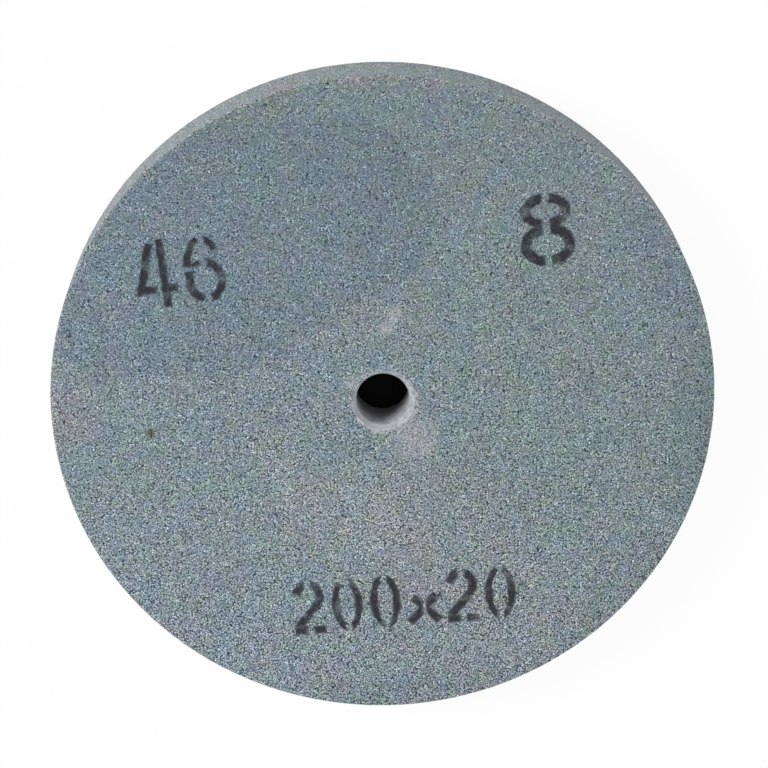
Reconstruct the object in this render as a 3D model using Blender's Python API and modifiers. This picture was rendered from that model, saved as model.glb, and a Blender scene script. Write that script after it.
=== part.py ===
"""A straight bench grinding wheel with a cast lining in its bore.

The wheel lies flat on its back face. The origin is on the bore's axis at that face, and +Z runs
along the bore, out of the front face. Lengths are in metres.
"""

import math

import bpy
from mathutils import Vector

OBJECT_NAME = "bench_grinding_wheel"

WHEEL_DIAMETER = 0.200
WHEEL_THICKNESS = 0.020
RIM_EDGE_RADIUS = 0.0006

ARBOR_BORE_DIAMETER = 0.016
LINING_WALL = 0.0020
FRONT_MOUTH_LAND = 0.0009
FRONT_FLARE_DEPTH = 0.0031
FRONT_MOUTH_EASE = 0.0003
FRONT_NECK_EASE = 0.0009
BACK_MOUTH_LAND = 0.0008
BACK_FLARE_DEPTH = 0.0021

LINING_GAP = 0.0003
RAW_BORE_EDGE_RADIUS = 0.0004

WHEEL_SIDES = 240
LINING_SIDES = 96
RIM_EDGE_STEPS = 4
RAW_BORE_EDGE_STEPS = 2
FLARE_STEPS = 8
EASE_STEPS = 4
MERGE_DISTANCE = 0.00001

ABRASIVE_COLOUR = (0.206, 0.250, 0.275, 1.0)
ABRASIVE_ROUGHNESS = 0.92
LINING_COLOUR = (0.456, 0.462, 0.474, 1.0)
LINING_ROUGHNESS = 0.80


def clear_scene():
    """Take every object out of the scene."""
    for old in list(bpy.data.objects):
        bpy.data.objects.remove(old, do_unlink=True)


def make_material(name, colour, roughness):
    """A plain material that isn't metal."""
    material = bpy.data.materials.new(name)
    material.use_nodes = True
    shader = material.node_tree.nodes["Principled BSDF"]
    shader.inputs["Base Color"].default_value = colour
    shader.inputs["Roughness"].default_value = roughness
    shader.inputs["Metallic"].default_value = 0.0
    material.diffuse_color = colour
    return material


def quarter_turn(centre, radii, start, steps):
    """A quarter of an ellipse, run clockwise from start degrees, as (radius, height) points."""
    points = []
    for step in range(steps + 1):
        angle = math.radians(start - 90.0 * step / steps)
        radius = centre[0] + radii[0] * math.cos(angle)
        height = centre[1] + radii[1] * math.sin(angle)
        points.append((radius, height))
    return points


def eased_corner(before, corner, after, ease):
    """A corner between two others, eased into a curve that starts and ends at the ease from it."""
    corner = Vector(corner)
    start = corner + (Vector(before) - corner).normalized() * ease
    end = corner + (Vector(after) - corner).normalized() * ease
    points = []
    for step in range(EASE_STEPS + 1):
        share = step / EASE_STEPS
        before_corner = start.lerp(corner, share)
        past_corner = corner.lerp(end, share)
        points.append(tuple(before_corner.lerp(past_corner, share)))
    return points


def turned_piece(name, profile, sides, material, collection):
    """A closed profile turned about the Z axis. It runs clockwise: down its outer side, up its bore."""
    mesh = bpy.data.meshes.new(name)
    vertices = [(radius, 0.0, height) for radius, height in profile]
    edges = [(index, (index + 1) % len(profile)) for index in range(len(profile))]
    mesh.from_pydata(vertices, edges, [])
    mesh.materials.append(material)
    piece = bpy.data.objects.new(name, mesh)
    collection.objects.link(piece)

    turn = piece.modifiers.new("turn", "SCREW")
    turn.axis = "Z"
    turn.angle = math.tau
    turn.steps = sides
    turn.render_steps = sides
    turn.use_merge_vertices = True
    turn.merge_threshold = MERGE_DISTANCE
    turn.use_smooth_shade = True

    shading = piece.modifiers.new("flat_faces_shade_flat", "WEIGHTED_NORMAL")
    shading.mode = "FACE_AREA"
    return piece


def abrasive_wheel(collection):
    """The bonded abrasive body: a flat-faced disc, with the raw bore that the lining is cast in."""
    rim = WHEEL_DIAMETER / 2
    raw_bore = ARBOR_BORE_DIAMETER / 2 + LINING_WALL + LINING_GAP
    rim_edge = (RIM_EDGE_RADIUS, RIM_EDGE_RADIUS)
    raw_edge = (RAW_BORE_EDGE_RADIUS, RAW_BORE_EDGE_RADIUS)

    rim_front = (rim - RIM_EDGE_RADIUS, WHEEL_THICKNESS - RIM_EDGE_RADIUS)
    rim_back = (rim - RIM_EDGE_RADIUS, RIM_EDGE_RADIUS)
    bore_back = (raw_bore + RAW_BORE_EDGE_RADIUS, RAW_BORE_EDGE_RADIUS)
    bore_front = (raw_bore + RAW_BORE_EDGE_RADIUS, WHEEL_THICKNESS - RAW_BORE_EDGE_RADIUS)

    profile = quarter_turn(rim_front, rim_edge, 90.0, RIM_EDGE_STEPS)
    profile += quarter_turn(rim_back, rim_edge, 0.0, RIM_EDGE_STEPS)
    profile += quarter_turn(bore_back, raw_edge, -90.0, RAW_BORE_EDGE_STEPS)
    profile += quarter_turn(bore_front, raw_edge, -180.0, RAW_BORE_EDGE_STEPS)

    material = make_material("vitrified_silicon_carbide", ABRASIVE_COLOUR, ABRASIVE_ROUGHNESS)
    return turned_piece("abrasive_wheel", profile, WHEEL_SIDES, material, collection)


def bore_lining(collection):
    """The pale lining: an arbor bore whose two mouths flare to a narrow land, flush with the faces.

    The back mouth is rounded. The front one is a steep cone with eased corners.
    """
    bore = ARBOR_BORE_DIAMETER / 2
    outside = bore + LINING_WALL
    outside_front = (outside, WHEEL_THICKNESS)
    outside_back = (outside, 0.0)

    back_flare = (LINING_WALL - BACK_MOUTH_LAND, BACK_FLARE_DEPTH)
    back_centre = (bore + back_flare[0], BACK_FLARE_DEPTH)
    back_neck = (bore, BACK_FLARE_DEPTH)
    front_neck = (bore, WHEEL_THICKNESS - FRONT_FLARE_DEPTH)
    front_mouth = (outside - FRONT_MOUTH_LAND, WHEEL_THICKNESS)

    profile = [outside_front, outside_back]
    profile += quarter_turn(back_centre, back_flare, -90.0, FLARE_STEPS)
    profile += eased_corner(back_neck, front_neck, front_mouth, FRONT_NECK_EASE)
    profile += eased_corner(front_neck, front_mouth, outside_front, FRONT_MOUTH_EASE)

    material = make_material("cast_cement_lining", LINING_COLOUR, LINING_ROUGHNESS)
    return turned_piece("bore_lining", profile, LINING_SIDES, material, collection)


def build():
    """Make the whole wheel in a collection of its own."""
    clear_scene()
    collection = bpy.data.collections.new(OBJECT_NAME)
    bpy.context.scene.collection.children.link(collection)
    abrasive_wheel(collection)
    bore_lining(collection)


build()
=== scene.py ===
"""A bench grinding wheel: a coarse grey-green abrasive disc with a pale cast lining in its bore and
stencilled numbers on its front face. It lies flat on its back face. Lengths are in metres, except
where a name or a comment says mm."""

import math

import bmesh
import bpy
import numpy as np
from mathutils import Matrix, Vector, noise
from mathutils.bvhtree import BVHTree


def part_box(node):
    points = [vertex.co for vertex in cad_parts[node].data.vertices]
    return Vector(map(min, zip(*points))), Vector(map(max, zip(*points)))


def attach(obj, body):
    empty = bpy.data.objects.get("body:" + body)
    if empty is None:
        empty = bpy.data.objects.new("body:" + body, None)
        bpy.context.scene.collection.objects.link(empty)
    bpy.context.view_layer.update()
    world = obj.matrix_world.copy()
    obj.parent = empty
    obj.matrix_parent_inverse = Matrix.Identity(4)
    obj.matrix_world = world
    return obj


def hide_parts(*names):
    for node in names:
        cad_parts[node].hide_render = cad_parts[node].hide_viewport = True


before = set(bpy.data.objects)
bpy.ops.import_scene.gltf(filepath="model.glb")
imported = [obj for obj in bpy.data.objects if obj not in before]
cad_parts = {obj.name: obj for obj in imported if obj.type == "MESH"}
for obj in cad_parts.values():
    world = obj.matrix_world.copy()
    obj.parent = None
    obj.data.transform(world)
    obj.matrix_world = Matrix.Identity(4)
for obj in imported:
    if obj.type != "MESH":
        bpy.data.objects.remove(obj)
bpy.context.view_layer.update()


# The abrasive wheel.
# Silicon carbide grain in a fired clay bond: pressed in a mould, kilned as one piece, then trued on
# its two faces and its rim. The surface is open, with whole grains standing up and gaps between.

MM = 0.001
wheel_low, wheel_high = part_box("abrasive_wheel")
RIM_RADIUS = wheel_high.x
WHEEL_THICKNESS = wheel_high.z - wheel_low.z
RAW_BORE_RADIUS = 9.5 * MM  # a little inside the lining's edge, so that no gap shows
RIM_EDGE_ROUNDING = 0.55 * MM
RIM_EDGE_STEPS = 3
FACE_SINK = 0.06 * MM  # the faces lie this far inside the solid's, which leaves room for the ink
GRAIN_RELIEF = 0.08 * MM
GRAIN_CELLS_PER_MM = 2.7
GRAIN_DRIFT = 0.28 * MM
DRIFT_SEED = 1  # without a seed, the drift would come from the clock and change with each run
DRIFT_LUMPS_PER_MM = 1.9

POINT_SPACING = 0.8 * MM
RIM_POINT_SPACING = 1.1 * MM
HALO_RADIUS = 10.7 * MM  # thin cement round the bore reaches this far
HALO_POINT_SPACING = 0.3 * MM
BACK_POINT_SPACING = 3.5 * MM
STILL_BORDER = 1.5 * POINT_SPACING  # points this near an edge don't drift, so the edges stay true
SAME_PLACE = 0.001 * MM
NEAR = 0.01 * MM
SECTORS = 10
INNER_STEPS = 200  # round the inner zone; each zone further out has twice as many
MIDDLE_STEPS = 2 * INNER_STEPS
OUTER_STEPS = 2 * MIDDLE_STEPS
INNER_ZONE_RADIUS = INNER_STEPS * POINT_SPACING / math.tau
MIDDLE_ZONE_RADIUS = MIDDLE_STEPS * POINT_SPACING / math.tau


def evenly(start, end, spacing):
    """Distances from start to end, both included, in equal steps of about the spacing."""
    count = max(1, round(abs(end - start) / spacing))
    return [start + (end - start) * step / count for step in range(count + 1)]


def turned(mesh, profile, steps):
    """Turns a line of (radius, height) points about the bore's axis, one sector at a time."""
    others = set(mesh.verts)
    points = [mesh.verts.new((radius, 0.0, height)) for radius, height in profile]
    edges = [mesh.edges.new(pair) for pair in zip(points, points[1:])]
    bmesh.ops.spin(
        mesh,
        geom=points + edges,
        cent=(0.0, 0.0, 0.0),
        axis=(0.0, 0.0, 1.0),
        dvec=(0.0, 0.0, 0.0),
        angle=math.tau / SECTORS,
        steps=steps // SECTORS,
        use_merge=False,
    )
    points = [vertex for vertex in mesh.verts if vertex not in others]
    inside = set(points)
    sector = points + [edge for edge in mesh.edges if edge.verts[0] in inside]
    sector += [face for face in mesh.faces if face.verts[0] in inside]
    for number in range(1, SECTORS):
        copies = bmesh.ops.duplicate(mesh, geom=sector)["geom"]
        copied = [item for item in copies if isinstance(item, bmesh.types.BMVert)]
        turn = Matrix.Rotation(math.tau * number / SECTORS, 3, "Z")
        bmesh.ops.rotate(mesh, verts=copied, cent=(0.0, 0.0, 0.0), matrix=turn)
        points += copied
    bmesh.ops.remove_doubles(mesh, verts=points, dist=SAME_PLACE)


def fill_between_rings(mesh, height, *radii):
    """Fills the face between two open rings of points at one height."""

    def on_a_ring(vertex):
        away = [abs(math.hypot(vertex.co.x, vertex.co.y) - radius) for radius in radii]
        return min(away) < NEAR and abs(vertex.co.z - height) < NEAR

    rings = [edge for edge in mesh.edges if edge.is_boundary and all(map(on_a_ring, edge.verts))]
    bmesh.ops.triangle_fill(mesh, use_beauty=True, edges=rings, normal=(0.0, 0.0, 1.0))


def quarter_round(centre, radii, start, steps):
    """A quarter ellipse, run clockwise from start degrees, as (radius, height) points."""
    angles = [math.radians(start - 90.0 * step / steps) for step in range(steps + 1)]
    return [(centre[0] + radii[0] * math.cos(a), centre[1] + radii[1] * math.sin(a)) for a in angles]


def wheel_skin():
    """The wheel's closed skin, in zones that keep its points evenly spaced from the bore to the rim."""
    top = WHEEL_THICKNESS - FACE_SINK
    bottom = FACE_SINK
    rim = RIM_RADIUS - FACE_SINK
    edge = RIM_EDGE_ROUNDING
    mesh = bmesh.new()

    outer = [(r, top) for r in evenly(MIDDLE_ZONE_RADIUS, rim - edge, POINT_SPACING)[:-1]]
    outer += quarter_round((rim - edge, top - edge), (edge, edge), 90.0, RIM_EDGE_STEPS)
    outer += [(rim, z) for z in evenly(top - edge, bottom + edge, RIM_POINT_SPACING)[1:-1]]
    outer += quarter_round((rim - edge, bottom + edge), (edge, edge), 0.0, RIM_EDGE_STEPS)
    turned(mesh, outer, OUTER_STEPS)

    middle_edge = MIDDLE_ZONE_RADIUS - POINT_SPACING
    middle = [(r, top) for r in evenly(INNER_ZONE_RADIUS, middle_edge, POINT_SPACING)]
    turned(mesh, middle, MIDDLE_STEPS)

    inner_edge = INNER_ZONE_RADIUS - POINT_SPACING
    back_edge = rim - edge - BACK_POINT_SPACING
    inner = [(r, bottom) for r in evenly(back_edge, RAW_BORE_RADIUS, BACK_POINT_SPACING)]
    inner += [(RAW_BORE_RADIUS, z) for z in evenly(bottom, top, RIM_POINT_SPACING)[1:-1]]
    inner += [(r, top) for r in evenly(RAW_BORE_RADIUS, HALO_RADIUS, HALO_POINT_SPACING)[:-1]]
    inner += [(r, top) for r in evenly(HALO_RADIUS, inner_edge, POINT_SPACING)]
    turned(mesh, inner, INNER_STEPS)

    fill_between_rings(mesh, top, MIDDLE_ZONE_RADIUS, middle_edge)
    fill_between_rings(mesh, top, INNER_ZONE_RADIUS, inner_edge)
    fill_between_rings(mesh, bottom, rim - edge, back_edge)
    bmesh.ops.recalc_face_normals(mesh, faces=mesh.faces)
    return mesh


def roughen(mesh):
    """Sinks each point by the depth of the grain there, and drifts the points on the faces."""
    noise.seed_set(DRIFT_SEED)
    mesh.normal_update()
    moves = []
    for vertex in mesh.verts:
        place = vertex.co / MM
        move = -vertex.normal * GRAIN_RELIEF * (0.5 + 0.5 * noise.cell(place * GRAIN_CELLS_PER_MM))
        radius = math.hypot(vertex.co.x, vertex.co.y)
        to_edge = min(RIM_RADIUS - radius, radius - RAW_BORE_RADIUS)
        on_a_face = abs(vertex.normal.z) > 0.9
        if on_a_face and to_edge > STILL_BORDER:
            drift = noise.noise_vector(place * DRIFT_LUMPS_PER_MM) * GRAIN_DRIFT
            move += Vector((drift.x, drift.y, 0.0))
        moves.append(move)
    for vertex, move in zip(mesh.verts, moves):
        vertex.co += move


# Soft clouds of tone on the face. Each covers the round places that it runs through, given as
# (x mm, y mm, radius mm), and has a soft edge in mm and a tone for red, green and blue.
CLOUDS = {
    "blue patch": ([(-14, 59, 29), (-55, 46, 40), (-76, 40, 33)], 4, (0.85, 0.88, 0.94)),
    "dark end of the patch": ([(5, 77, 5), (13, 58, 5), (10, 45, 4)], 8, (0.97, 0.97, 0.94)),
    "pale wedge": ([(-37, -14, 2), (-22, -38, 7), (-4, -36, 15)], 14, (1.12, 1.10, 1.09)),
    "pink below the bore": ([(0, -40, 18), (30, -60, 22)], 34, (1.09, 1.01, 0.99)),
    "lavender lower left": ([(-85, -45, 8), (-60, -72, 10), (-30, -92, 8)], 22, (0.99, 1.01, 1.03)),
    "green right half": ([(40, 30, 30), (60, -10, 30)], 40, (0.98, 0.99, 0.96)),
    "blue upper right": ([(80, 55, 8), (88, 35, 6)], 16, (0.86, 0.90, 0.96)),
    # Painted shade along the right edge, where the rim's rounding turns away from the light.
    "painted shade at the right edge": ([(99, 36, 4), (101, 3, 10), (97, -36, 7)], 20, (0.79, 0.80, 0.78)),
    "pale round the bore": ([(0, 0, 12), (2, -1, 12)], 10, (1.03, 1.00, 0.97)),
    "dark lower right": ([(84, -50, 4), (62, -76, 4)], 16, (0.87, 0.88, 0.87)),
    "dark foot": ([(-30, -101, 3), (60, -88, 3)], 12, (0.81, 0.86, 0.86)),
    "pink left edge": ([(-98, 12, 3), (-97, -12, 4)], 8, (1.11, 1.01, 1.00)),
    "pink top edge": ([(-12, 99, 3), (14, 99, 3)], 8, (1.15, 0.97, 0.99)),
    "green upper left": ([(-58, 86, 5), (-30, 94, 3)], 10, (0.89, 0.92, 0.86)),
    "upper half": ([(-40, 100, 40), (40, 100, 40)], 90, (0.95, 0.96, 0.95)),
    "lower half": ([(-40, -100, 40), (40, -100, 40)], 90, (1.04, 1.01, 1.03)),
}
CLOUD_EDGE_WANDER_MM = 2.2
CLOUD_EDGE_LUMP_MM = 11.0
RIM_BAND_MM = 0.4
# The rim is painted warmer and paler than the face. It is paler still towards its right end, which is
# painted light that evens out the key light's shading along the rim.
RIM_TONE = (1.22, 1.12, 1.08)
RIM_PAINTED_LIGHT_TO_THE_RIGHT = 0.22
RIM_PAINTED_LIGHT_FROM_MM = -30.0
RIM_PAINTED_LIGHT_OVER_MM = 100.0
CORNER_TONE = (1.11, 1.02, 0.99)  # the rim's corner is a little worn, and warmer than the face
CORNER_FROM_MM = 98.6
CORNER_FADE_MM = 0.6
RUST_PLACE_MM = (-70.0, -9.6)  # one speck of iron in the bond has rusted
RUST_REACH_MM = (1.1, 1.5)
RUST_TONE = (0.40, 0.29, 0.25)
DUST_AT_TOP = 0.52  # at the face's upper edge, fine dust fills this share of the grain's contrast
DUST_OVER_MM = 190.0  # it thins out to none over this length, down the face
DUST_ON_RIM = 0.42


def smooth_step(values):
    """Eases from 0 to 1 as the values go from 0 to 1."""
    held = np.clip(values, 0.0, 1.0)
    return held * held * (3.0 - 2.0 * held)


def spot(away):
    """How much of a round spot shows at each distance, in its radii: all to 0.5, none past 1.5."""
    return smooth_step(1.5 - away)


def points_in_mm(mesh):
    """The mesh's points as an array of places in mm."""
    return np.array([vertex.co[:] for vertex in mesh.verts]) / MM


def wander(places, size_mm, seed):
    """Smooth noise from -1 to 1 at each place, with lumps of about the size."""
    offset = Vector((seed, 0.5, 0.25))  # off the noise's own grid, where it is always 0
    return np.array([noise.noise(Vector(place) / size_mm + offset) for place in places])


def on_rim(places):
    """Which of the places are on the rim."""
    return np.hypot(places[:, 0], places[:, 1]) > RIM_RADIUS / MM - RIM_BAND_MM


def inside_cloud(flat, start, end):
    """How deep each place lies inside the run between two round places, in mm."""
    along = np.subtract(end[:2], start[:2])
    share = np.clip(((flat - start[:2]) @ along) / (along @ along), 0.0, 1.0)
    nearest = np.array(start[:2]) + share[:, None] * along
    radius = start[2] + share * (end[2] - start[2])
    return radius - np.hypot(*(flat - nearest).T)


def tone_and_painted_light(places):
    """The clouds' tone at each place, for red, green and blue, with the painted shade at the right edge and
    the painted light towards the rim's right end.
    """
    tone = np.ones((len(places), 3))
    flat = places[:, :2] + CLOUD_EDGE_WANDER_MM * np.stack(
        [wander(places, CLOUD_EDGE_LUMP_MM, seed=3.0), wander(places, CLOUD_EDGE_LUMP_MM, seed=9.0)],
        axis=1,
    )
    for rounds, edge, colour in CLOUDS.values():
        depth = np.max([inside_cloud(flat, *pair) for pair in zip(rounds, rounds[1:])], axis=0)
        tone *= 1.0 + smooth_step(depth / edge + 0.5)[:, None] * (np.array(colour) - 1.0)
    radius = np.hypot(places[:, 0], places[:, 1])
    corner = smooth_step((radius - CORNER_FROM_MM) / CORNER_FADE_MM)
    tone *= 1.0 + corner[:, None] * (np.array(CORNER_TONE) - 1.0)
    rust = spot(np.hypot(*((places[:, :2] - RUST_PLACE_MM) / RUST_REACH_MM).T))
    tone *= 1.0 + rust[:, None] * (np.array(RUST_TONE) - 1.0)
    # painted light: paler towards the rim's right end
    to_the_right = np.clip((places[:, 0] - RIM_PAINTED_LIGHT_FROM_MM) / RIM_PAINTED_LIGHT_OVER_MM, 0.0, 1.0)
    rim_tone = np.array(RIM_TONE) * (1.0 + RIM_PAINTED_LIGHT_TO_THE_RIGHT * to_the_right)[:, None]
    return np.where(on_rim(places)[:, None], rim_tone, tone)


def dust(places):
    """The share of the grain's contrast that fine dust hides at each place."""
    up_the_face = DUST_AT_TOP * np.clip(0.5 + places[:, 1] / DUST_OVER_MM, 0.0, 1.0)
    return np.where(on_rim(places), DUST_ON_RIM, up_the_face)


# Thin smears of the lining's cement that were left on the face, as (x mm, y mm, radius mm, share).
SMEARS = [
    (1.2, 23.4, 1.9, 0.60),
    (3.6, 27.4, 2.2, 0.40),
    (9.5, -12.0, 5.8, 0.34),
    (13.0, -9.0, 4.0, 0.24),
    (-9.8, 6.5, 2.4, 0.25),
]
HALO_CENTRE_MM = (0.40, 0.02)
HALO_MIDDLE_MM = 9.85  # where half of the halo's share is left
HALO_FADE_MM = 1.5
HALO_SHARE = 0.8
HALO_RAGGED_MM = 1.0
HALO_LUMP_MM = 1.3
PATCHINESS = 0.6
PATCH_MM = 2.2
FRONT_BAND_MM = 1.0  # no cement lies deeper than this


def cement_smear(places):
    """The share of each place that thin cement covers."""
    from_centre = np.hypot(places[:, 0] - HALO_CENTRE_MM[0], places[:, 1] - HALO_CENTRE_MM[1])
    ragged = HALO_RAGGED_MM * wander(places, HALO_LUMP_MM, seed=7.0)
    share = HALO_SHARE * smooth_step((HALO_MIDDLE_MM + ragged - from_centre) / HALO_FADE_MM + 0.5)
    for x, y, radius, most in SMEARS:
        away = np.hypot(places[:, 0] - x, places[:, 1] - y)
        share = np.maximum(share, most * spot(away / radius))
    patchy = 1.0 + PATCHINESS * wander(places, PATCH_MM, seed=5.0)
    on_front = places[:, 2] > WHEEL_THICKNESS / MM - FRONT_BAND_MM
    return np.where(on_front, np.clip(share * patchy, 0.0, 1.0), 0.0)


def linear(hex_colour):
    """An sRGB hex colour as the linear colour that a shader takes."""
    channels = [int(hex_colour[i : i + 2], 16) / 255 for i in (1, 3, 5)]
    return tuple(c / 12.92 if c <= 0.04045 else ((c + 0.055) / 1.055) ** 2.4 for c in channels) + (1.0,)


def node(tree, kind, inputs=None, stops=(), **settings):
    """Adds a node with its settings and any colour stops. Its inputs, by name or number, are values,
    nodes or outputs."""
    added = tree.nodes.new(kind)
    for name, value in settings.items():
        setattr(added, name, value)
    for name, value in (inputs or {}).items():
        source = value.outputs[0] if isinstance(value, bpy.types.Node) else value
        if isinstance(source, bpy.types.NodeSocket):
            tree.links.new(source, added.inputs[name])
        else:
            added.inputs[name].default_value = source
    for number, (position, colour) in enumerate(stops):
        elements = added.color_ramp.elements
        element = elements[number] if number < len(elements) else elements.new(1.0)
        element.position = position
        element.color = linear(colour)
    return added


def new_material(name):
    """An empty material and its node tree."""
    material = bpy.data.materials.new(name)
    material.use_nodes = True
    material.node_tree.nodes.clear()
    return material, material.node_tree


GRAIN_MM = 0.53  # a coarse grit, sieved to between 0.5 and 0.6 mm
MEAN_TONE = 0.46
ODD_SHARE = 0.05  # one grain in twenty gets a painted glint, and one in twenty the painted shade of a pit
PAINTED_GLINT = 0.25
PAINTED_PIT_SHADE = 0.35
CLUSTER_MM = 1.2
CLUSTER_CONTRAST = 2.3  # how much crisper or duller the grain gets from one cluster to the next
TINT_MM = 4.5
BROAD_TINT_MM = 17.0
FACET_LEAN = 0.25  # how steeply a grain's facet leans, in mm for each mm across it
GRAIN_RISE = 0.22  # how far a grain stands over the gaps, as a share of its size
GAP_ROUGHNESS = 0.98
TOP_ROUGHNESS = 0.78

# From gap to grain top: the gaps' darkness is partly painted shade in the recesses between grains.
GRAIN_TONES = [
    (0.05, "#18272d"),
    (0.29, "#57656b"),
    (0.46, "#859296"),
    (0.67, "#bec8cb"),
    (0.93, "#f6fcfd"),
]
BLUE_TO_GREEN = [(0.38, "#ebf3fd"), (0.50, "#f1f6f9"), (0.62, "#eef8f1")]
TEAL_TO_PINK = [(0.38, "#f1f9f9"), (0.62, "#fef2f5")]


def bonded_grain(tree):
    """The grain's nodes: places in mm, its colour, its tone from gap to top, and its height in mm."""
    place = node(tree, "ShaderNodeTexCoord").outputs["Object"]
    in_mm = node(tree, "ShaderNodeMapping", {"Vector": place, "Scale": (1 / MM, 1 / MM, 1 / MM)})
    grains = node(tree, "ShaderNodeTexVoronoi", {"Vector": in_mm, "Scale": 1 / GRAIN_MM})

    # the tone falls from each grain's middle to the gaps, partly as painted shade
    clean = node(tree, "ShaderNodeMath", {0: 1.0, 1: grains.outputs["Distance"]}, operation="SUBTRACT")
    pick = node(tree, "ShaderNodeSeparateColor", {"Color": grains.outputs["Color"]}).outputs["Red"]
    # A few grains are painted paler as glints, and a few darker as the shade in a pit.
    for start, end, change in ((1.0 - ODD_SHARE, 1.0, PAINTED_GLINT), (ODD_SHARE, 0.0, -PAINTED_PIT_SHADE)):
        odd = node(
            tree,
            "ShaderNodeMapRange",
            {"Value": pick, "From Min": start, "From Max": end, "To Max": change},
        )
        clean = node(tree, "ShaderNodeMath", {0: clean, 1: odd}, operation="ADD")
    dust_share = node(tree, "ShaderNodeAttribute", attribute_name="dust").outputs["Fac"]
    clusters = node(tree, "ShaderNodeTexNoise", {"Vector": in_mm, "Scale": 1 / CLUSTER_MM, "Detail": 1.0})
    crisp = node(tree, "ShaderNodeMath", {0: clusters, 1: 0.5}, operation="SUBTRACT")
    clogged = node(
        tree,
        "ShaderNodeMath",
        {0: crisp, 1: -CLUSTER_CONTRAST, 2: dust_share},
        operation="MULTIPLY_ADD",
    )
    tone = node(tree, "ShaderNodeMix", {"Factor": clogged, 2: clean, 3: MEAN_TONE}, clamp_factor=False)
    colour = node(tree, "ShaderNodeValToRGB", {"Fac": tone}, GRAIN_TONES)

    tint_noise = node(tree, "ShaderNodeTexNoise", {"Vector": in_mm, "Scale": 1 / TINT_MM, "Detail": 1.0})
    broad_noise = node(
        tree,
        "ShaderNodeTexNoise",
        {"Vector": in_mm, "Scale": 1 / BROAD_TINT_MM, "Detail": 3.0, "Roughness": 0.85},
    )
    blue_green = node(tree, "ShaderNodeValToRGB", {"Fac": tint_noise}, BLUE_TO_GREEN)
    pink = node(tree, "ShaderNodeValToRGB", {"Fac": broad_noise}, TEAL_TO_PINK)
    tone_and_light = node(tree, "ShaderNodeAttribute", attribute_name="tone_and_painted_light").outputs["Color"]
    for tint in (blue_green, pink, tone_and_light):
        colour = node(
            tree,
            "ShaderNodeMix",
            {0: 1.0, 6: colour, 7: tint},
            data_type="RGBA",
            blend_type="MULTIPLY",
        ).outputs[2]

    from_centre = node(
        tree, "ShaderNodeVectorMath", {0: in_mm, 1: grains.outputs["Position"]}, operation="SUBTRACT"
    )
    lean = node(
        tree, "ShaderNodeVectorMath", {0: grains.outputs["Color"], 1: (0.5, 0.5, 0.5)}, operation="SUBTRACT"
    )
    facet = node(
        tree, "ShaderNodeVectorMath", {0: from_centre, 1: lean}, operation="DOT_PRODUCT"
    ).outputs["Value"]
    rise = node(tree, "ShaderNodeMath", {0: tone, 1: GRAIN_RISE * GRAIN_MM}, operation="MULTIPLY")
    height = node(tree, "ShaderNodeMath", {0: facet, 1: 2 * FACET_LEAN, 2: rise}, operation="MULTIPLY_ADD")

    return in_mm, colour, tone, height


CEMENT_ON_GRAIN = "#c4c1c8"
CEMENT_IN_GAPS = 0.35
CEMENT_ON_TOPS = 1.9


def cement_cover(tree, tone):
    """The share of the grain that cement hides: more on the standing grains than in the gaps."""
    cement = node(tree, "ShaderNodeAttribute", attribute_name="cement").outputs["Fac"]
    clinging = node(
        tree, "ShaderNodeMapRange", {"Value": tone, "To Min": CEMENT_IN_GAPS, "To Max": CEMENT_ON_TOPS}
    )
    return node(tree, "ShaderNodeMath", {0: cement, 1: clinging}, operation="MULTIPLY", use_clamp=True)


def vitrified_silicon_carbide():
    """Silicon carbide grit in a fired clay bond: dull and gritty, with no gloss, though one grain in
    twenty carries a painted glint. Pale grain tops stand over dark gaps whose darkness is partly painted
    shade, and the bond's colour wanders between blue, green and pinkish grey."""
    material, tree = new_material("vitrified_silicon_carbide")
    _, colour, tone, height = bonded_grain(tree)
    cement = cement_cover(tree, tone)
    colour = node(
        tree, "ShaderNodeMix", {0: cement, 6: colour, 7: linear(CEMENT_ON_GRAIN)}, data_type="RGBA"
    ).outputs[2]
    roughness = node(
        tree, "ShaderNodeMapRange", {"Value": tone, "To Min": GAP_ROUGHNESS, "To Max": TOP_ROUGHNESS}
    )
    bump = node(tree, "ShaderNodeBump", {"Strength": 1.0, "Distance": MM, "Height": height})
    shader = node(
        tree,
        "ShaderNodeBsdfPrincipled",
        {"Base Color": colour, "Roughness": roughness, "IOR": 1.5, "Normal": bump},
    )
    node(tree, "ShaderNodeOutputMaterial", {"Surface": shader})
    return material


def finished_piece(name, mesh, material, replaced=(), fields=None):
    """Makes a piece of a mesh, with its fields as attributes, and rides it on the part's one body."""
    data = bpy.data.meshes.new(name)
    mesh.to_mesh(data)
    data.shade_smooth()
    data.materials.append(material)
    for field, values in (fields or {}).items():
        if values.ndim == 1:
            data.attributes.new(field, "FLOAT", "POINT").data.foreach_set("value", values)
        else:
            colours = np.column_stack([values, np.ones(len(values))])
            data.attributes.new(field, "FLOAT_COLOR", "POINT").data.foreach_set("color", colours.ravel())
    piece = bpy.data.objects.new(name, data)
    bpy.context.scene.collection.objects.link(piece)
    if replaced:
        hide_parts(*replaced)
    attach(piece, "root")
    return piece


wheel_mesh = wheel_skin()
roughen(wheel_mesh)
wheel_places = points_in_mm(wheel_mesh)
finished_piece(
    "grinding_wheel",
    wheel_mesh,
    vitrified_silicon_carbide(),
    replaced=["abrasive_wheel"],
    fields={
        "tone_and_painted_light": tone_and_painted_light(wheel_places),
        "dust": dust(wheel_places),
        "cement": cement_smear(wheel_places),
    },
)


# The bore lining.
# Pale cement, cast in the fired wheel's raw bore and turned to the arbor's size. Its mouths flare to
# the faces, where the wet cement crept a little over the grain.

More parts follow.
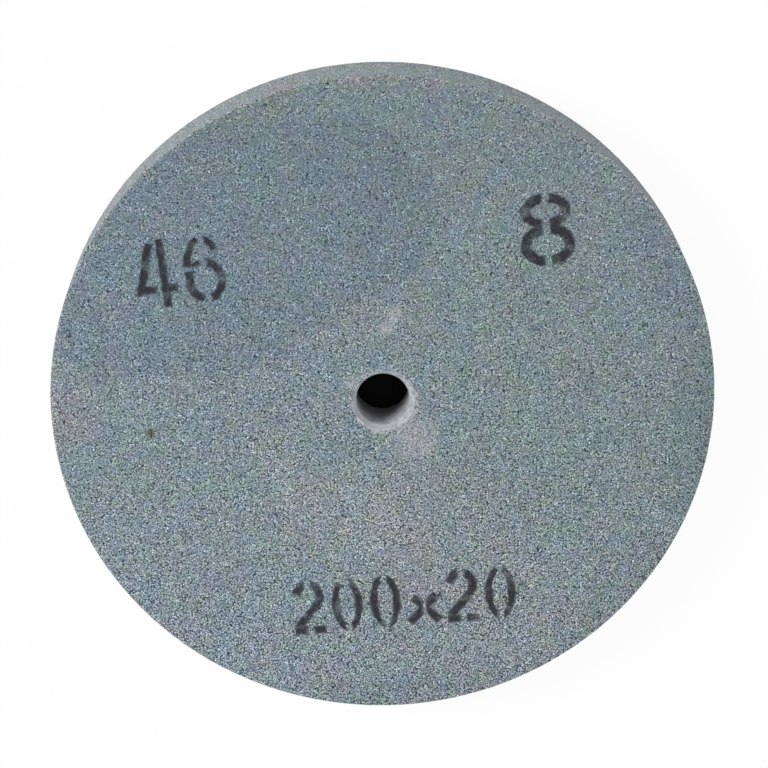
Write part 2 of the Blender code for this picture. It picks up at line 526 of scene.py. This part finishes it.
BORE_RADIUS = 8.0 * MM
LINING_OUTSIDE = 9.8 * MM
MOUTH_RADIUS = 9.1 * MM
FRONT_FLARE_DEPTH = 3.1 * MM
FLARE_EASE = 0.9 * MM
MOUTH_EASE = FLARE_EASE / 3
MOUTH_SHIFT = Vector((0.22, 0.16, 0.0)) * MM  # the front mouth was cut a little off the axis
BACK_MOUTH_RADIUS = 9.2 * MM
BACK_FLARE_DEPTH = 2.1 * MM
LINING_STEPS = 200
FLARE_STEPS = 9
EASE_STEPS = 5
BORE_POINT_SPACING = 0.9 * MM
LINING_SINK = 0.02 * MM
CREEP = 0.42 * MM  # the cement's edge strays this far at most
CREEP_DEPTH = 0.3 * MM
CREEP_LUMPS_PER_MM = 1.4
EDGE_ROW_DEPTH = 0.4 * MM
FEATHER_WIDTH = 0.35 * MM  # the land thins out to nothing over the grain
FEATHER_DEPTH = 0.10 * MM
CEMENT_RELIEF = 0.05 * MM
CEMENT_LUMPS_PER_MM = 0.9


def eased_corner(before, corner, after, ease):
    """A corner between two others, eased into a curve that starts and ends at the ease from it."""
    corner = Vector(corner)
    start = corner + (Vector(before) - corner).normalized() * ease
    end = corner + (Vector(after) - corner).normalized() * ease
    shares = [step / EASE_STEPS for step in range(EASE_STEPS + 1)]
    return [tuple(start.lerp(corner, t).lerp(corner.lerp(end, t), t)) for t in shares]


def lining_skin():
    """The lining's closed skin: outer wall, mouth lands, flares and bore, with the creep at its edge."""
    top = WHEEL_THICKNESS - LINING_SINK
    bottom = LINING_SINK
    front = (BORE_RADIUS, top - FRONT_FLARE_DEPTH)
    mouth = (MOUTH_RADIUS, top)
    back = (BACK_MOUTH_RADIUS, bottom + BACK_FLARE_DEPTH)
    profile = [(LINING_OUTSIDE - FEATHER_WIDTH, top), (LINING_OUTSIDE, top - FEATHER_DEPTH)]
    profile += [(LINING_OUTSIDE, top - EDGE_ROW_DEPTH), (LINING_OUTSIDE, bottom + EDGE_ROW_DEPTH)]
    profile.append((LINING_OUTSIDE, bottom))
    profile += quarter_round(back, (BACK_MOUTH_RADIUS - BORE_RADIUS, BACK_FLARE_DEPTH), -90.0, FLARE_STEPS)
    profile += [
        (BORE_RADIUS, z) for z in evenly(back[1], front[1] - FLARE_EASE, BORE_POINT_SPACING)[1:-1]
    ]
    profile += eased_corner(profile[-1], front, mouth, FLARE_EASE)
    profile += eased_corner(front, mouth, profile[0], MOUTH_EASE)
    profile.append(profile[0])
    mesh = bmesh.new()
    turned(mesh, profile, LINING_STEPS)
    bmesh.ops.recalc_face_normals(mesh, faces=mesh.faces)
    mesh.normal_update()
    for vertex in mesh.verts:
        place = vertex.co / MM
        radius = math.hypot(vertex.co.x, vertex.co.y)
        outward = Vector((vertex.co.x, vertex.co.y, 0.0)) / radius
        sunk = 0.5 + 0.5 * noise.noise(place * CEMENT_LUMPS_PER_MM)
        vertex.co -= vertex.normal * CEMENT_RELIEF * sunk
        if place.z > front[1] / MM:
            flared = (radius - BORE_RADIUS) / (MOUTH_RADIUS - BORE_RADIUS)
            vertex.co += MOUTH_SHIFT * min(1.0, max(0.0, flared))
        on_edge = radius > LINING_OUTSIDE - NEAR
        if on_edge and place.z > (top - CREEP_DEPTH) / MM:
            vertex.co += outward * CREEP * noise.noise(place * CREEP_LUMPS_PER_MM)
    return mesh


CEMENT_TONES = [(0.36, "#a4a5ac"), (0.50, "#b7bbbf"), (0.64, "#cbcbd4")]
# Painted light: a pale colour on the mouth's flare, on the side that the key light leaves in shade.
MOUTH_LIGHT_COLOUR = "#ebebee"
SOLID_CEMENT = 3.0  # enough to hide the grain everywhere
LAND_FADE = 0.6 * MM
MOUTH_LIGHT_SIDE = (-0.906, -0.423)  # painted light lies on this side of the mouth, where the key light leaves the flare in shade
MOUTH_LIGHT_WRAP = (0.1, 1.1)  # none from 95 degrees off that side, and all of it within 35
MOUTH_LIGHT_AT_LIP = 0.25
MOUTH_LIGHT_RISE_DEPTH = 1.2 * MM
MOUTH_LIGHT_TO_DEPTH = 4.0 * MM
MOUTH_LIGHT_FADE_DEPTH = 1.5 * MM
MOST_MOUTH_LIGHT = 0.85
# Painted shade: the bore's wall is painted darker with depth, for the shade deep in the bore.
BORE_SHADE_COLOUR = "#4a4848"
BORE_SHADE_FROM_DEPTH = 3.5 * MM
BORE_SHADE_TO_DEPTH = 15.0 * MM
MOST_BORE_SHADE = 0.75
CEMENT_CLOUD_MM = 1.8
CEMENT_SAND_MM = 0.30  # drawn coarser than the real sand, which is too fine to show
SAND_HEIGHT_MM = 0.04
SMOOTH_CEMENT = 0.75
SANDY_CEMENT = 0.95


def cast_cement():
    """Cast cement: chalky and matt, almost smooth, with faint clouding and fine sand in it."""
    material, tree = new_material("cast_cement_lining")
    in_mm, grain, grain_tone, grain_height = bonded_grain(tree)
    clouds = node(
        tree, "ShaderNodeTexNoise", {"Vector": in_mm, "Scale": 1 / CEMENT_CLOUD_MM, "Detail": 5.0}
    )
    sand = node(tree, "ShaderNodeTexNoise", {"Vector": in_mm, "Scale": 1 / CEMENT_SAND_MM, "Detail": 1.0})
    colour = node(tree, "ShaderNodeValToRGB", {"Fac": clouds}, CEMENT_TONES)
    # painted shade, darker deeper in the bore
    bore_shade = node(tree, "ShaderNodeAttribute", attribute_name="bore_shade").outputs["Fac"]
    colour = node(
        tree, "ShaderNodeMix", {0: bore_shade, 6: colour, 7: linear(BORE_SHADE_COLOUR)}, data_type="RGBA"
    ).outputs[2]
    # painted light on the flare's shaded side
    mouth_light = node(tree, "ShaderNodeAttribute", attribute_name="mouth_light").outputs["Fac"]
    colour = node(
        tree, "ShaderNodeMix", {0: mouth_light, 6: colour, 7: linear(MOUTH_LIGHT_COLOUR)}, data_type="RGBA"
    ).outputs[2]
    cover = cement_cover(tree, grain_tone)
    colour = node(tree, "ShaderNodeMix", {0: cover, 6: grain, 7: colour}, data_type="RGBA").outputs[2]
    sand_height = node(tree, "ShaderNodeMath", {0: sand, 1: SAND_HEIGHT_MM}, operation="MULTIPLY")
    height = node(tree, "ShaderNodeMix", {"Factor": cover, 2: grain_height, 3: sand_height})
    bump = node(tree, "ShaderNodeBump", {"Strength": 1.0, "Distance": MM, "Height": height})
    roughness = node(
        tree, "ShaderNodeMapRange", {"Value": sand, "To Min": SMOOTH_CEMENT, "To Max": SANDY_CEMENT}
    )
    shader = node(
        tree,
        "ShaderNodeBsdfPrincipled",
        {"Base Color": colour, "Roughness": roughness, "IOR": 1.5, "Normal": bump},
    )
    node(tree, "ShaderNodeOutputMaterial", {"Surface": shader})
    return material


lining_mesh = lining_skin()
lining_places = points_in_mm(lining_mesh)
lining_depth = WHEEL_THICKNESS - lining_places[:, 2] * MM
lining_radius = np.hypot(lining_places[:, 0], lining_places[:, 1]) * MM
# Painted shade deep in the bore, and painted light on the side of the mouth that the key light leaves in
# shade.
bore_shade = smooth_step((lining_depth - BORE_SHADE_FROM_DEPTH) / (BORE_SHADE_TO_DEPTH - BORE_SHADE_FROM_DEPTH))
mouth_light_side = lining_places[:, :2] @ MOUTH_LIGHT_SIDE * MM / lining_radius
mouth_light = smooth_step(MOUTH_LIGHT_WRAP[0] + MOUTH_LIGHT_WRAP[1] * mouth_light_side)
mouth_light *= smooth_step(MOUTH_LIGHT_AT_LIP + lining_depth / MOUTH_LIGHT_RISE_DEPTH)
mouth_light *= smooth_step((MOUTH_LIGHT_TO_DEPTH - lining_depth) / MOUTH_LIGHT_FADE_DEPTH)
on_land = smooth_step((lining_radius - MOUTH_RADIUS) / LAND_FADE + 1.0)
lining_cement = cement_smear(lining_places) + SOLID_CEMENT * (1.0 - on_land)
finished_piece(
    "bore_lining_cast",
    lining_mesh,
    cast_cement(),
    replaced=["bore_lining"],
    fields={
        "bore_shade": MOST_BORE_SHADE * bore_shade,
        "mouth_light": MOST_MOUTH_LIGHT * mouth_light,
        "cement": lining_cement,
        "tone_and_painted_light": tone_and_painted_light(lining_places),
        "dust": dust(lining_places),
    },
)


# The stencilled numbers.
# Black stencil ink dabbed on the front face: grit size, structure number, and diameter by thickness.
# It sits on the grain's tops, so its edges are broken, and it is thin where the dabber ran dry.

BRIDGE_WIDTH_MM = 2.3  # the stencil's plate is held together by bridges, which leave bare gaps
INK_MARGIN_MM = 0.55
INK_POINT_SPACING_MM = 0.3
INK_FILM_MM = 0.025
INK_WAVER_MM = 0.4
INK_WAVER_LUMP_MM = 1.7
DIGIT_SPACE_MM = 2.6


def bar(x, y, stroke, start, end):
    """How deep each point lies inside a straight stroke, in mm. It is negative outside."""
    along = np.subtract(end, start)
    length = math.hypot(*along)
    along = along / length
    run = (x - start[0]) * along[0] + (y - start[1]) * along[1]
    aside = (y - start[1]) * along[0] - (x - start[0]) * along[1]
    return np.minimum(stroke / 2 - abs(aside), np.minimum(run, length - run))


def bow(x, y, stroke, centre, radii, start=-180.0, end=180.0):
    """How deep each point lies inside an oval stroke from start to end degrees, counterclockwise."""
    across, up = x - centre[0], y - centre[1]
    distance = np.hypot(across, up)
    run, rise = across / radii[0], up / radii[1]
    aside = distance - distance / np.maximum(np.hypot(run, rise), 1e-6)
    inside = stroke / 2 - abs(aside)
    if end - start >= 360.0:
        return inside
    middle = math.radians((start + end) / 2)
    turn = np.arctan2(
        rise * math.cos(middle) - run * math.sin(middle),
        run * math.cos(middle) + rise * math.sin(middle),
    )
    to_the_end = (math.radians(end - start) / 2 - abs(turn)) * distance
    return np.minimum(inside, to_the_end)


def bridge(x, y, centre, size):
    """How far each point lies outside a bridge of the stencil, in mm."""
    return np.maximum(abs(x - centre[0]) - size[0] / 2, abs(y - centre[1]) - size[1] / 2)


def digit_depth(digit, x, y, width, height, stroke):
    """How deep each point lies inside a digit or the times sign. Its lower left corner is at 0, 0, and
    its bends, bars and bridges lie at shares of its width and height."""
    half = stroke / 2
    middle = width / 2
    gap = BRIDGE_WIDTH_MM
    if digit == "0":
        strokes = [bow(x, y, stroke, (middle, height / 2), (middle - half, height / 2 - half))]
        bridges = [bridge(x, y, (middle, height / 2), (gap, 2 * height))]
    elif digit == "2":
        top = height * 0.70
        strokes = [
            bow(x, y, stroke, (middle, top), (middle - half, height - top - half), -35.0, 165.0),
            bar(x, y, stroke, (width - half * 1.3, top - height * 0.12), (half * 0.9, stroke * 1.1)),
            bar(x, y, stroke, (0.0, half), (width, half)),
        ]
        bridges = [
            bridge(x, y, (middle, height), (gap, height * 0.5)),
            bridge(x, y, (middle, 0.0), (gap, 3.0 * stroke)),
        ]
    elif digit == "4":
        stem = width * 0.70
        crossing = height * 0.27
        strokes = [
            bar(x, y, stroke, (stem, 0.0), (stem, height)),
            bar(x, y, stroke, (stem - half - gap * 0.9, height * 0.97), (half, crossing)),
            bar(x, y, stroke, (0.0, crossing), (width, crossing)),
        ]
        bridges = [bridge(x, y, (stem - half - gap * 0.3, height * 0.3), (gap * 0.6, height))]
    elif digit == "6":
        low = height * 0.32
        strokes = [
            bow(x, y, stroke, (middle, height / 2), (middle - half, height / 2 - half), 35.0, 200.0),
            bow(x, y, stroke, (middle, low), (middle - half, low - half)),
        ]
        bridges = [
            bridge(x, y, (middle, height / 2), (gap, 2 * height)),
            bridge(x, y, (0.0, height * 0.52), (width, gap * 0.6)),
        ]
    elif digit == "8":
        low = height * 0.29
        high = height * 0.76
        strokes = [
            bow(x, y, stroke, (middle, low), (middle - half, low - half)),
            bow(x, y, stroke, (middle, high), (middle * 0.92 - half, height - high - half)),
        ]
        bridges = [bridge(x, y, (middle, height / 2), (gap, 2 * height))]
    else:
        top = height * 0.55 + half
        strokes = [
            bar(x, y, stroke, (0.0, half), (width, top)),
            bar(x, y, stroke, (0.0, top), (width, half)),
        ]
        bridges = [bridge(x, y, (middle, height * 0.275 + half), (gap * 0.6, height))]
    return np.minimum(np.max(strokes, axis=0), np.min(bridges, axis=0))


def is_pinched(vertex):
    """Whether the film would hang together by this point alone, or by a bare edge."""
    open_edges = sum(edge.is_boundary for edge in vertex.link_edges)
    return open_edges > 2 or any(edge.is_wire for edge in vertex.link_edges)


def stencilled(name, text, centre, size, tilt, stroke, material):
    """Prints one line of digits on the front face, centred at a place in mm and tilted in degrees."""
    width, height = size
    margin = INK_MARGIN_MM
    mesh = bmesh.new()  # in mm, until it is laid on the face
    columns = round((width + 2 * margin) / INK_POINT_SPACING_MM)
    rows = round((height + 2 * margin) / INK_POINT_SPACING_MM)
    bmesh.ops.create_grid(mesh, x_segments=columns, y_segments=rows, size=0.5)
    bmesh.ops.scale(mesh, vec=(width + 2 * margin, height + 2 * margin, 1.0), verts=mesh.verts)

    places = np.array([vertex.co[:] for vertex in mesh.verts])
    x = places[:, 0] + width / 2 + wander(places, INK_WAVER_LUMP_MM, seed=1.0) * INK_WAVER_MM
    y = places[:, 1] + height / 2 + wander(places, INK_WAVER_LUMP_MM, seed=4.0) * INK_WAVER_MM
    digit_width = (width - DIGIT_SPACE_MM * (len(text) - 1)) / len(text)
    depth = np.max(
        [
            digit_depth(
                digit, x - number * (digit_width + DIGIT_SPACE_MM), y, digit_width, height, stroke
            )
            for number, digit in enumerate(text)
        ],
        axis=0,
    )
    layer = mesh.verts.layers.float.new("ink_depth")
    for vertex, ink_depth in zip(mesh.verts, depth):
        vertex[layer] = ink_depth
    bare = [vertex for vertex in mesh.verts if vertex[layer] < -margin]
    while bare:
        bmesh.ops.delete(mesh, geom=bare, context="VERTS")
        bare = [vertex for vertex in mesh.verts if is_pinched(vertex)]

    bmesh.ops.scale(mesh, vec=(MM, MM, MM), verts=mesh.verts)
    bmesh.ops.rotate(
        mesh, verts=mesh.verts, cent=(0.0, 0.0, 0.0), matrix=Matrix.Rotation(math.radians(tilt), 3, "Z")
    )
    bmesh.ops.translate(mesh, verts=mesh.verts, vec=(centre[0] * MM, centre[1] * MM, 0.0))
    for vertex in mesh.verts:
        above = Vector((vertex.co.x, vertex.co.y, 2 * WHEEL_THICKNESS))
        hit = wheel_surface.ray_cast(above, Vector((0.0, 0.0, -1.0)))[0]
        vertex.co.z = hit.z + INK_FILM_MM * MM
    marks = points_in_mm(mesh)
    piece = finished_piece(
        name,
        mesh,
        material,
        fields={"tone_and_painted_light": tone_and_painted_light(marks), "dust": dust(marks)},
    )
    film = piece.modifiers.new("film", "SOLIDIFY")
    film.thickness = INK_FILM_MM * MM
    film.offset = -1.0


INK_TONES = [(0.15, "#08090f"), (0.45, "#191b25"), (0.85, "#3f424f")]
INK_TINTS = [(0.42, "#ffe0ea"), (0.58, "#cfeee0")]
INK_CATCH_MM = 2.2  # a standing grain catches ink this much further out than the gaps do
INK_EDGE_MM = (0.85, 1.15)  # ink starts at the first, and is whole at the second
INK_PATCH_MM = 5.0
DRY_PATCHES = (0.32, 0.52)  # below and above which the patches' noise leaves thin or full ink
THIN_INK = 0.62
INK_TINT_MM = 3.0
BARE_ROUGHNESS = 0.92
INK_ROUGHNESS = 0.8


def stencil_ink():
    """Stencil ink: violet-black and matt, thin enough that the grain shows in it, broken at its edges."""
    material, tree = new_material("stencil_ink_on_grain")
    in_mm, colour, tone, height = bonded_grain(tree)
    depth = node(tree, "ShaderNodeAttribute", attribute_name="ink_depth").outputs["Fac"]
    patches = node(tree, "ShaderNodeTexNoise", {"Vector": in_mm, "Scale": 1 / INK_PATCH_MM, "Detail": 2.0})
    ragged = node(tree, "ShaderNodeMath", {0: tone, 1: INK_CATCH_MM, 2: depth}, operation="MULTIPLY_ADD")
    printed = node(
        tree,
        "ShaderNodeMapRange",
        {"Value": ragged, "From Min": INK_EDGE_MM[0], "From Max": INK_EDGE_MM[1]},
        interpolation_type="SMOOTHSTEP",
    )
    cover = node(
        tree,
        "ShaderNodeMapRange",
        {"Value": patches, "From Min": DRY_PATCHES[0], "From Max": DRY_PATCHES[1], "To Min": THIN_INK},
    )
    share = node(tree, "ShaderNodeMath", {0: printed, 1: cover}, operation="MULTIPLY")
    ink = node(tree, "ShaderNodeValToRGB", {"Fac": tone}, INK_TONES)
    tint_noise = node(
        tree, "ShaderNodeTexNoise", {"Vector": in_mm, "Scale": 1 / INK_TINT_MM, "Detail": 1.0}
    )
    tint = node(tree, "ShaderNodeValToRGB", {"Fac": tint_noise}, INK_TINTS)
    ink = node(
        tree, "ShaderNodeMix", {0: 1.0, 6: ink, 7: tint}, data_type="RGBA", blend_type="MULTIPLY"
    ).outputs[2]
    colour = node(tree, "ShaderNodeMix", {0: share, 6: colour, 7: ink}, data_type="RGBA").outputs[2]
    roughness = node(
        tree, "ShaderNodeMapRange", {"Value": share, "To Min": BARE_ROUGHNESS, "To Max": INK_ROUGHNESS}
    )
    bump = node(tree, "ShaderNodeBump", {"Strength": 1.0, "Distance": MM, "Height": height})
    shader = node(
        tree,
        "ShaderNodeBsdfPrincipled",
        {"Base Color": colour, "Roughness": roughness, "IOR": 1.5, "Normal": bump},
    )
    node(tree, "ShaderNodeOutputMaterial", {"Surface": shader})
    return material


wheel_surface = BVHTree.FromBMesh(wheel_mesh)
ink_material = stencil_ink()
# Centres and sizes are across and up the face in mm, tilts in degrees, and strokes in mm.
for name, text, centre, size, tilt, stroke in (
    ("grit_number", "46", (-60.2, 41.1), (26.4, 20.5), 7.2, 2.2),
    ("structure_number", "8", (48.3, 53.4), (16.0, 22.0), 5.0, 2.95),
    ("size_numbers", "200x20", (6.6, -64.2), (68.4, 17.5), 4.6, 2.2),
):
    stencilled(name, text, centre, size, tilt, stroke, ink_material)


# The floor, the light and the camera.
# A pale floor and a soft key light from the left, with an even light all round. A black card under
# the bore is painted shade: it stands for the dark that shows through it.


def stage_piece(name, mesh, material, height):
    """Puts a flat piece of the stage at a height."""
    bmesh.ops.translate(mesh, verts=mesh.verts, vec=(0.0, 0.0, height))
    data = bpy.data.meshes.new(name)
    mesh.to_mesh(data)
    data.materials.append(material)
    piece = bpy.data.objects.new(name, data)
    bpy.context.scene.collection.objects.link(piece)


def rays_that_see(tree):
    """1 for the rays by which the eye sees a thing: straight, reflected or through glass."""
    rays = node(tree, "ShaderNodeLightPath")
    seen = rays.outputs["Is Camera Ray"]
    for kind in ("Is Glossy Ray", "Is Transmission Ray"):
        seen = node(tree, "ShaderNodeMath", {0: seen, 1: rays.outputs[kind]}, operation="MAXIMUM")
    return seen


WHITE = "#ffffff"
FLOOR_COLOUR = "#f3f3f3"
FLOOR_WHITE_SHARE = 0.95
FLOOR_HALF_WIDTH = 3.0
FLOOR_HEIGHT = -0.1 * MM
floor_material, floor_tree = new_material("pale_floor")
floor_paint = node(floor_tree, "ShaderNodeBsdfDiffuse", {"Color": linear(FLOOR_COLOUR)})
floor_white = node(floor_tree, "ShaderNodeEmission", {"Color": linear(WHITE), "Strength": 1.0})
floor_share = node(
    floor_tree,
    "ShaderNodeMath",
    {0: rays_that_see(floor_tree), 1: FLOOR_WHITE_SHARE},
    operation="MULTIPLY",
)
floor_seen = node(floor_tree, "ShaderNodeMixShader", {0: floor_share, 1: floor_paint, 2: floor_white})
node(floor_tree, "ShaderNodeOutputMaterial", {"Surface": floor_seen})
floor_mesh = bmesh.new()
bmesh.ops.create_grid(floor_mesh, x_segments=1, y_segments=1, size=FLOOR_HALF_WIDTH)
stage_piece("floor", floor_mesh, floor_material, FLOOR_HEIGHT)

# Painted shade: a dark card under the bore, for the dark seen through it.
SHADE_CARD_COLOUR = "#1d1d1d"
CARD_RADIUS = 20.0 * MM
CARD_HEIGHT = -0.05 * MM
shade_card_material, card_tree = new_material("shade_card")
shade_card_paint = node(card_tree, "ShaderNodeBsdfDiffuse", {"Color": linear(SHADE_CARD_COLOUR)})
node(card_tree, "ShaderNodeOutputMaterial", {"Surface": shade_card_paint})
card_mesh = bmesh.new()
bmesh.ops.create_circle(card_mesh, cap_ends=True, segments=64, radius=CARD_RADIUS)
stage_piece("shade_card_under_bore", card_mesh, shade_card_material, CARD_HEIGHT)

EVEN_LIGHT_COLOUR = "#fcfdff"
EVEN_LIGHT_STRENGTH = 0.55
world = bpy.data.worlds.new("even_light")
bpy.context.scene.world = world
world.use_nodes = True
world.node_tree.nodes.clear()
world_tree = world.node_tree
world_light = node(
    world_tree,
    "ShaderNodeBackground",
    {"Color": linear(EVEN_LIGHT_COLOUR), "Strength": EVEN_LIGHT_STRENGTH},
)
world_white = node(world_tree, "ShaderNodeBackground", {"Color": linear(WHITE), "Strength": 1.0})
world_seen = node(
    world_tree,
    "ShaderNodeMixShader",
    {0: rays_that_see(world_tree), 1: world_light, 2: world_white},
)
node(world_tree, "ShaderNodeOutputWorld", {"Surface": world_seen})

KEY_PLACE = Vector((-1.35, 0.55, 1.25))
KEY_SIZE = 0.6
KEY_POWER = 24.0
key_data = bpy.data.lights.new("key", "AREA")
key_data.shape = "DISK"
key_data.size = KEY_SIZE
key_data.energy = KEY_POWER
key = bpy.data.objects.new("key", key_data)
key.location = KEY_PLACE
key.rotation_mode = "QUATERNION"
key.rotation_quaternion = (-KEY_PLACE).to_track_quat("-Z", "Y")
bpy.context.scene.collection.objects.link(key)

CAMERA_TILT = math.radians(18.1)
CAMERA_HEADING = math.radians(92.7)
CAMERA_DISTANCE = 0.828
CAMERA_LENS_MM = 129.0
FRAMING = (-0.3 * MM, -5.5 * MM)
face_centre = Vector((0.0, 0.0, WHEEL_THICKNESS))
back = Vector(
    (
        math.sin(CAMERA_TILT) * math.cos(CAMERA_HEADING),
        math.sin(CAMERA_TILT) * math.sin(CAMERA_HEADING),
        math.cos(CAMERA_TILT),
    )
)
right = Vector((0.0, 1.0, 0.0)).cross(back).normalized()
up = back.cross(right)
camera_data = bpy.data.cameras.new("camera")
camera_data.sensor_width = 36.0
camera_data.lens = CAMERA_LENS_MM
camera_data.clip_start = 0.01
camera_data.clip_end = 20.0
camera = bpy.data.objects.new("camera", camera_data)
camera_place = face_centre + back * CAMERA_DISTANCE - right * FRAMING[0] - up * FRAMING[1]
camera.matrix_world = Matrix.Translation(camera_place) @ Matrix((right, up, back)).transposed().to_4x4()
bpy.context.scene.collection.objects.link(camera)
bpy.context.scene.camera = camera

bpy.context.scene.view_settings.view_transform = "Standard"
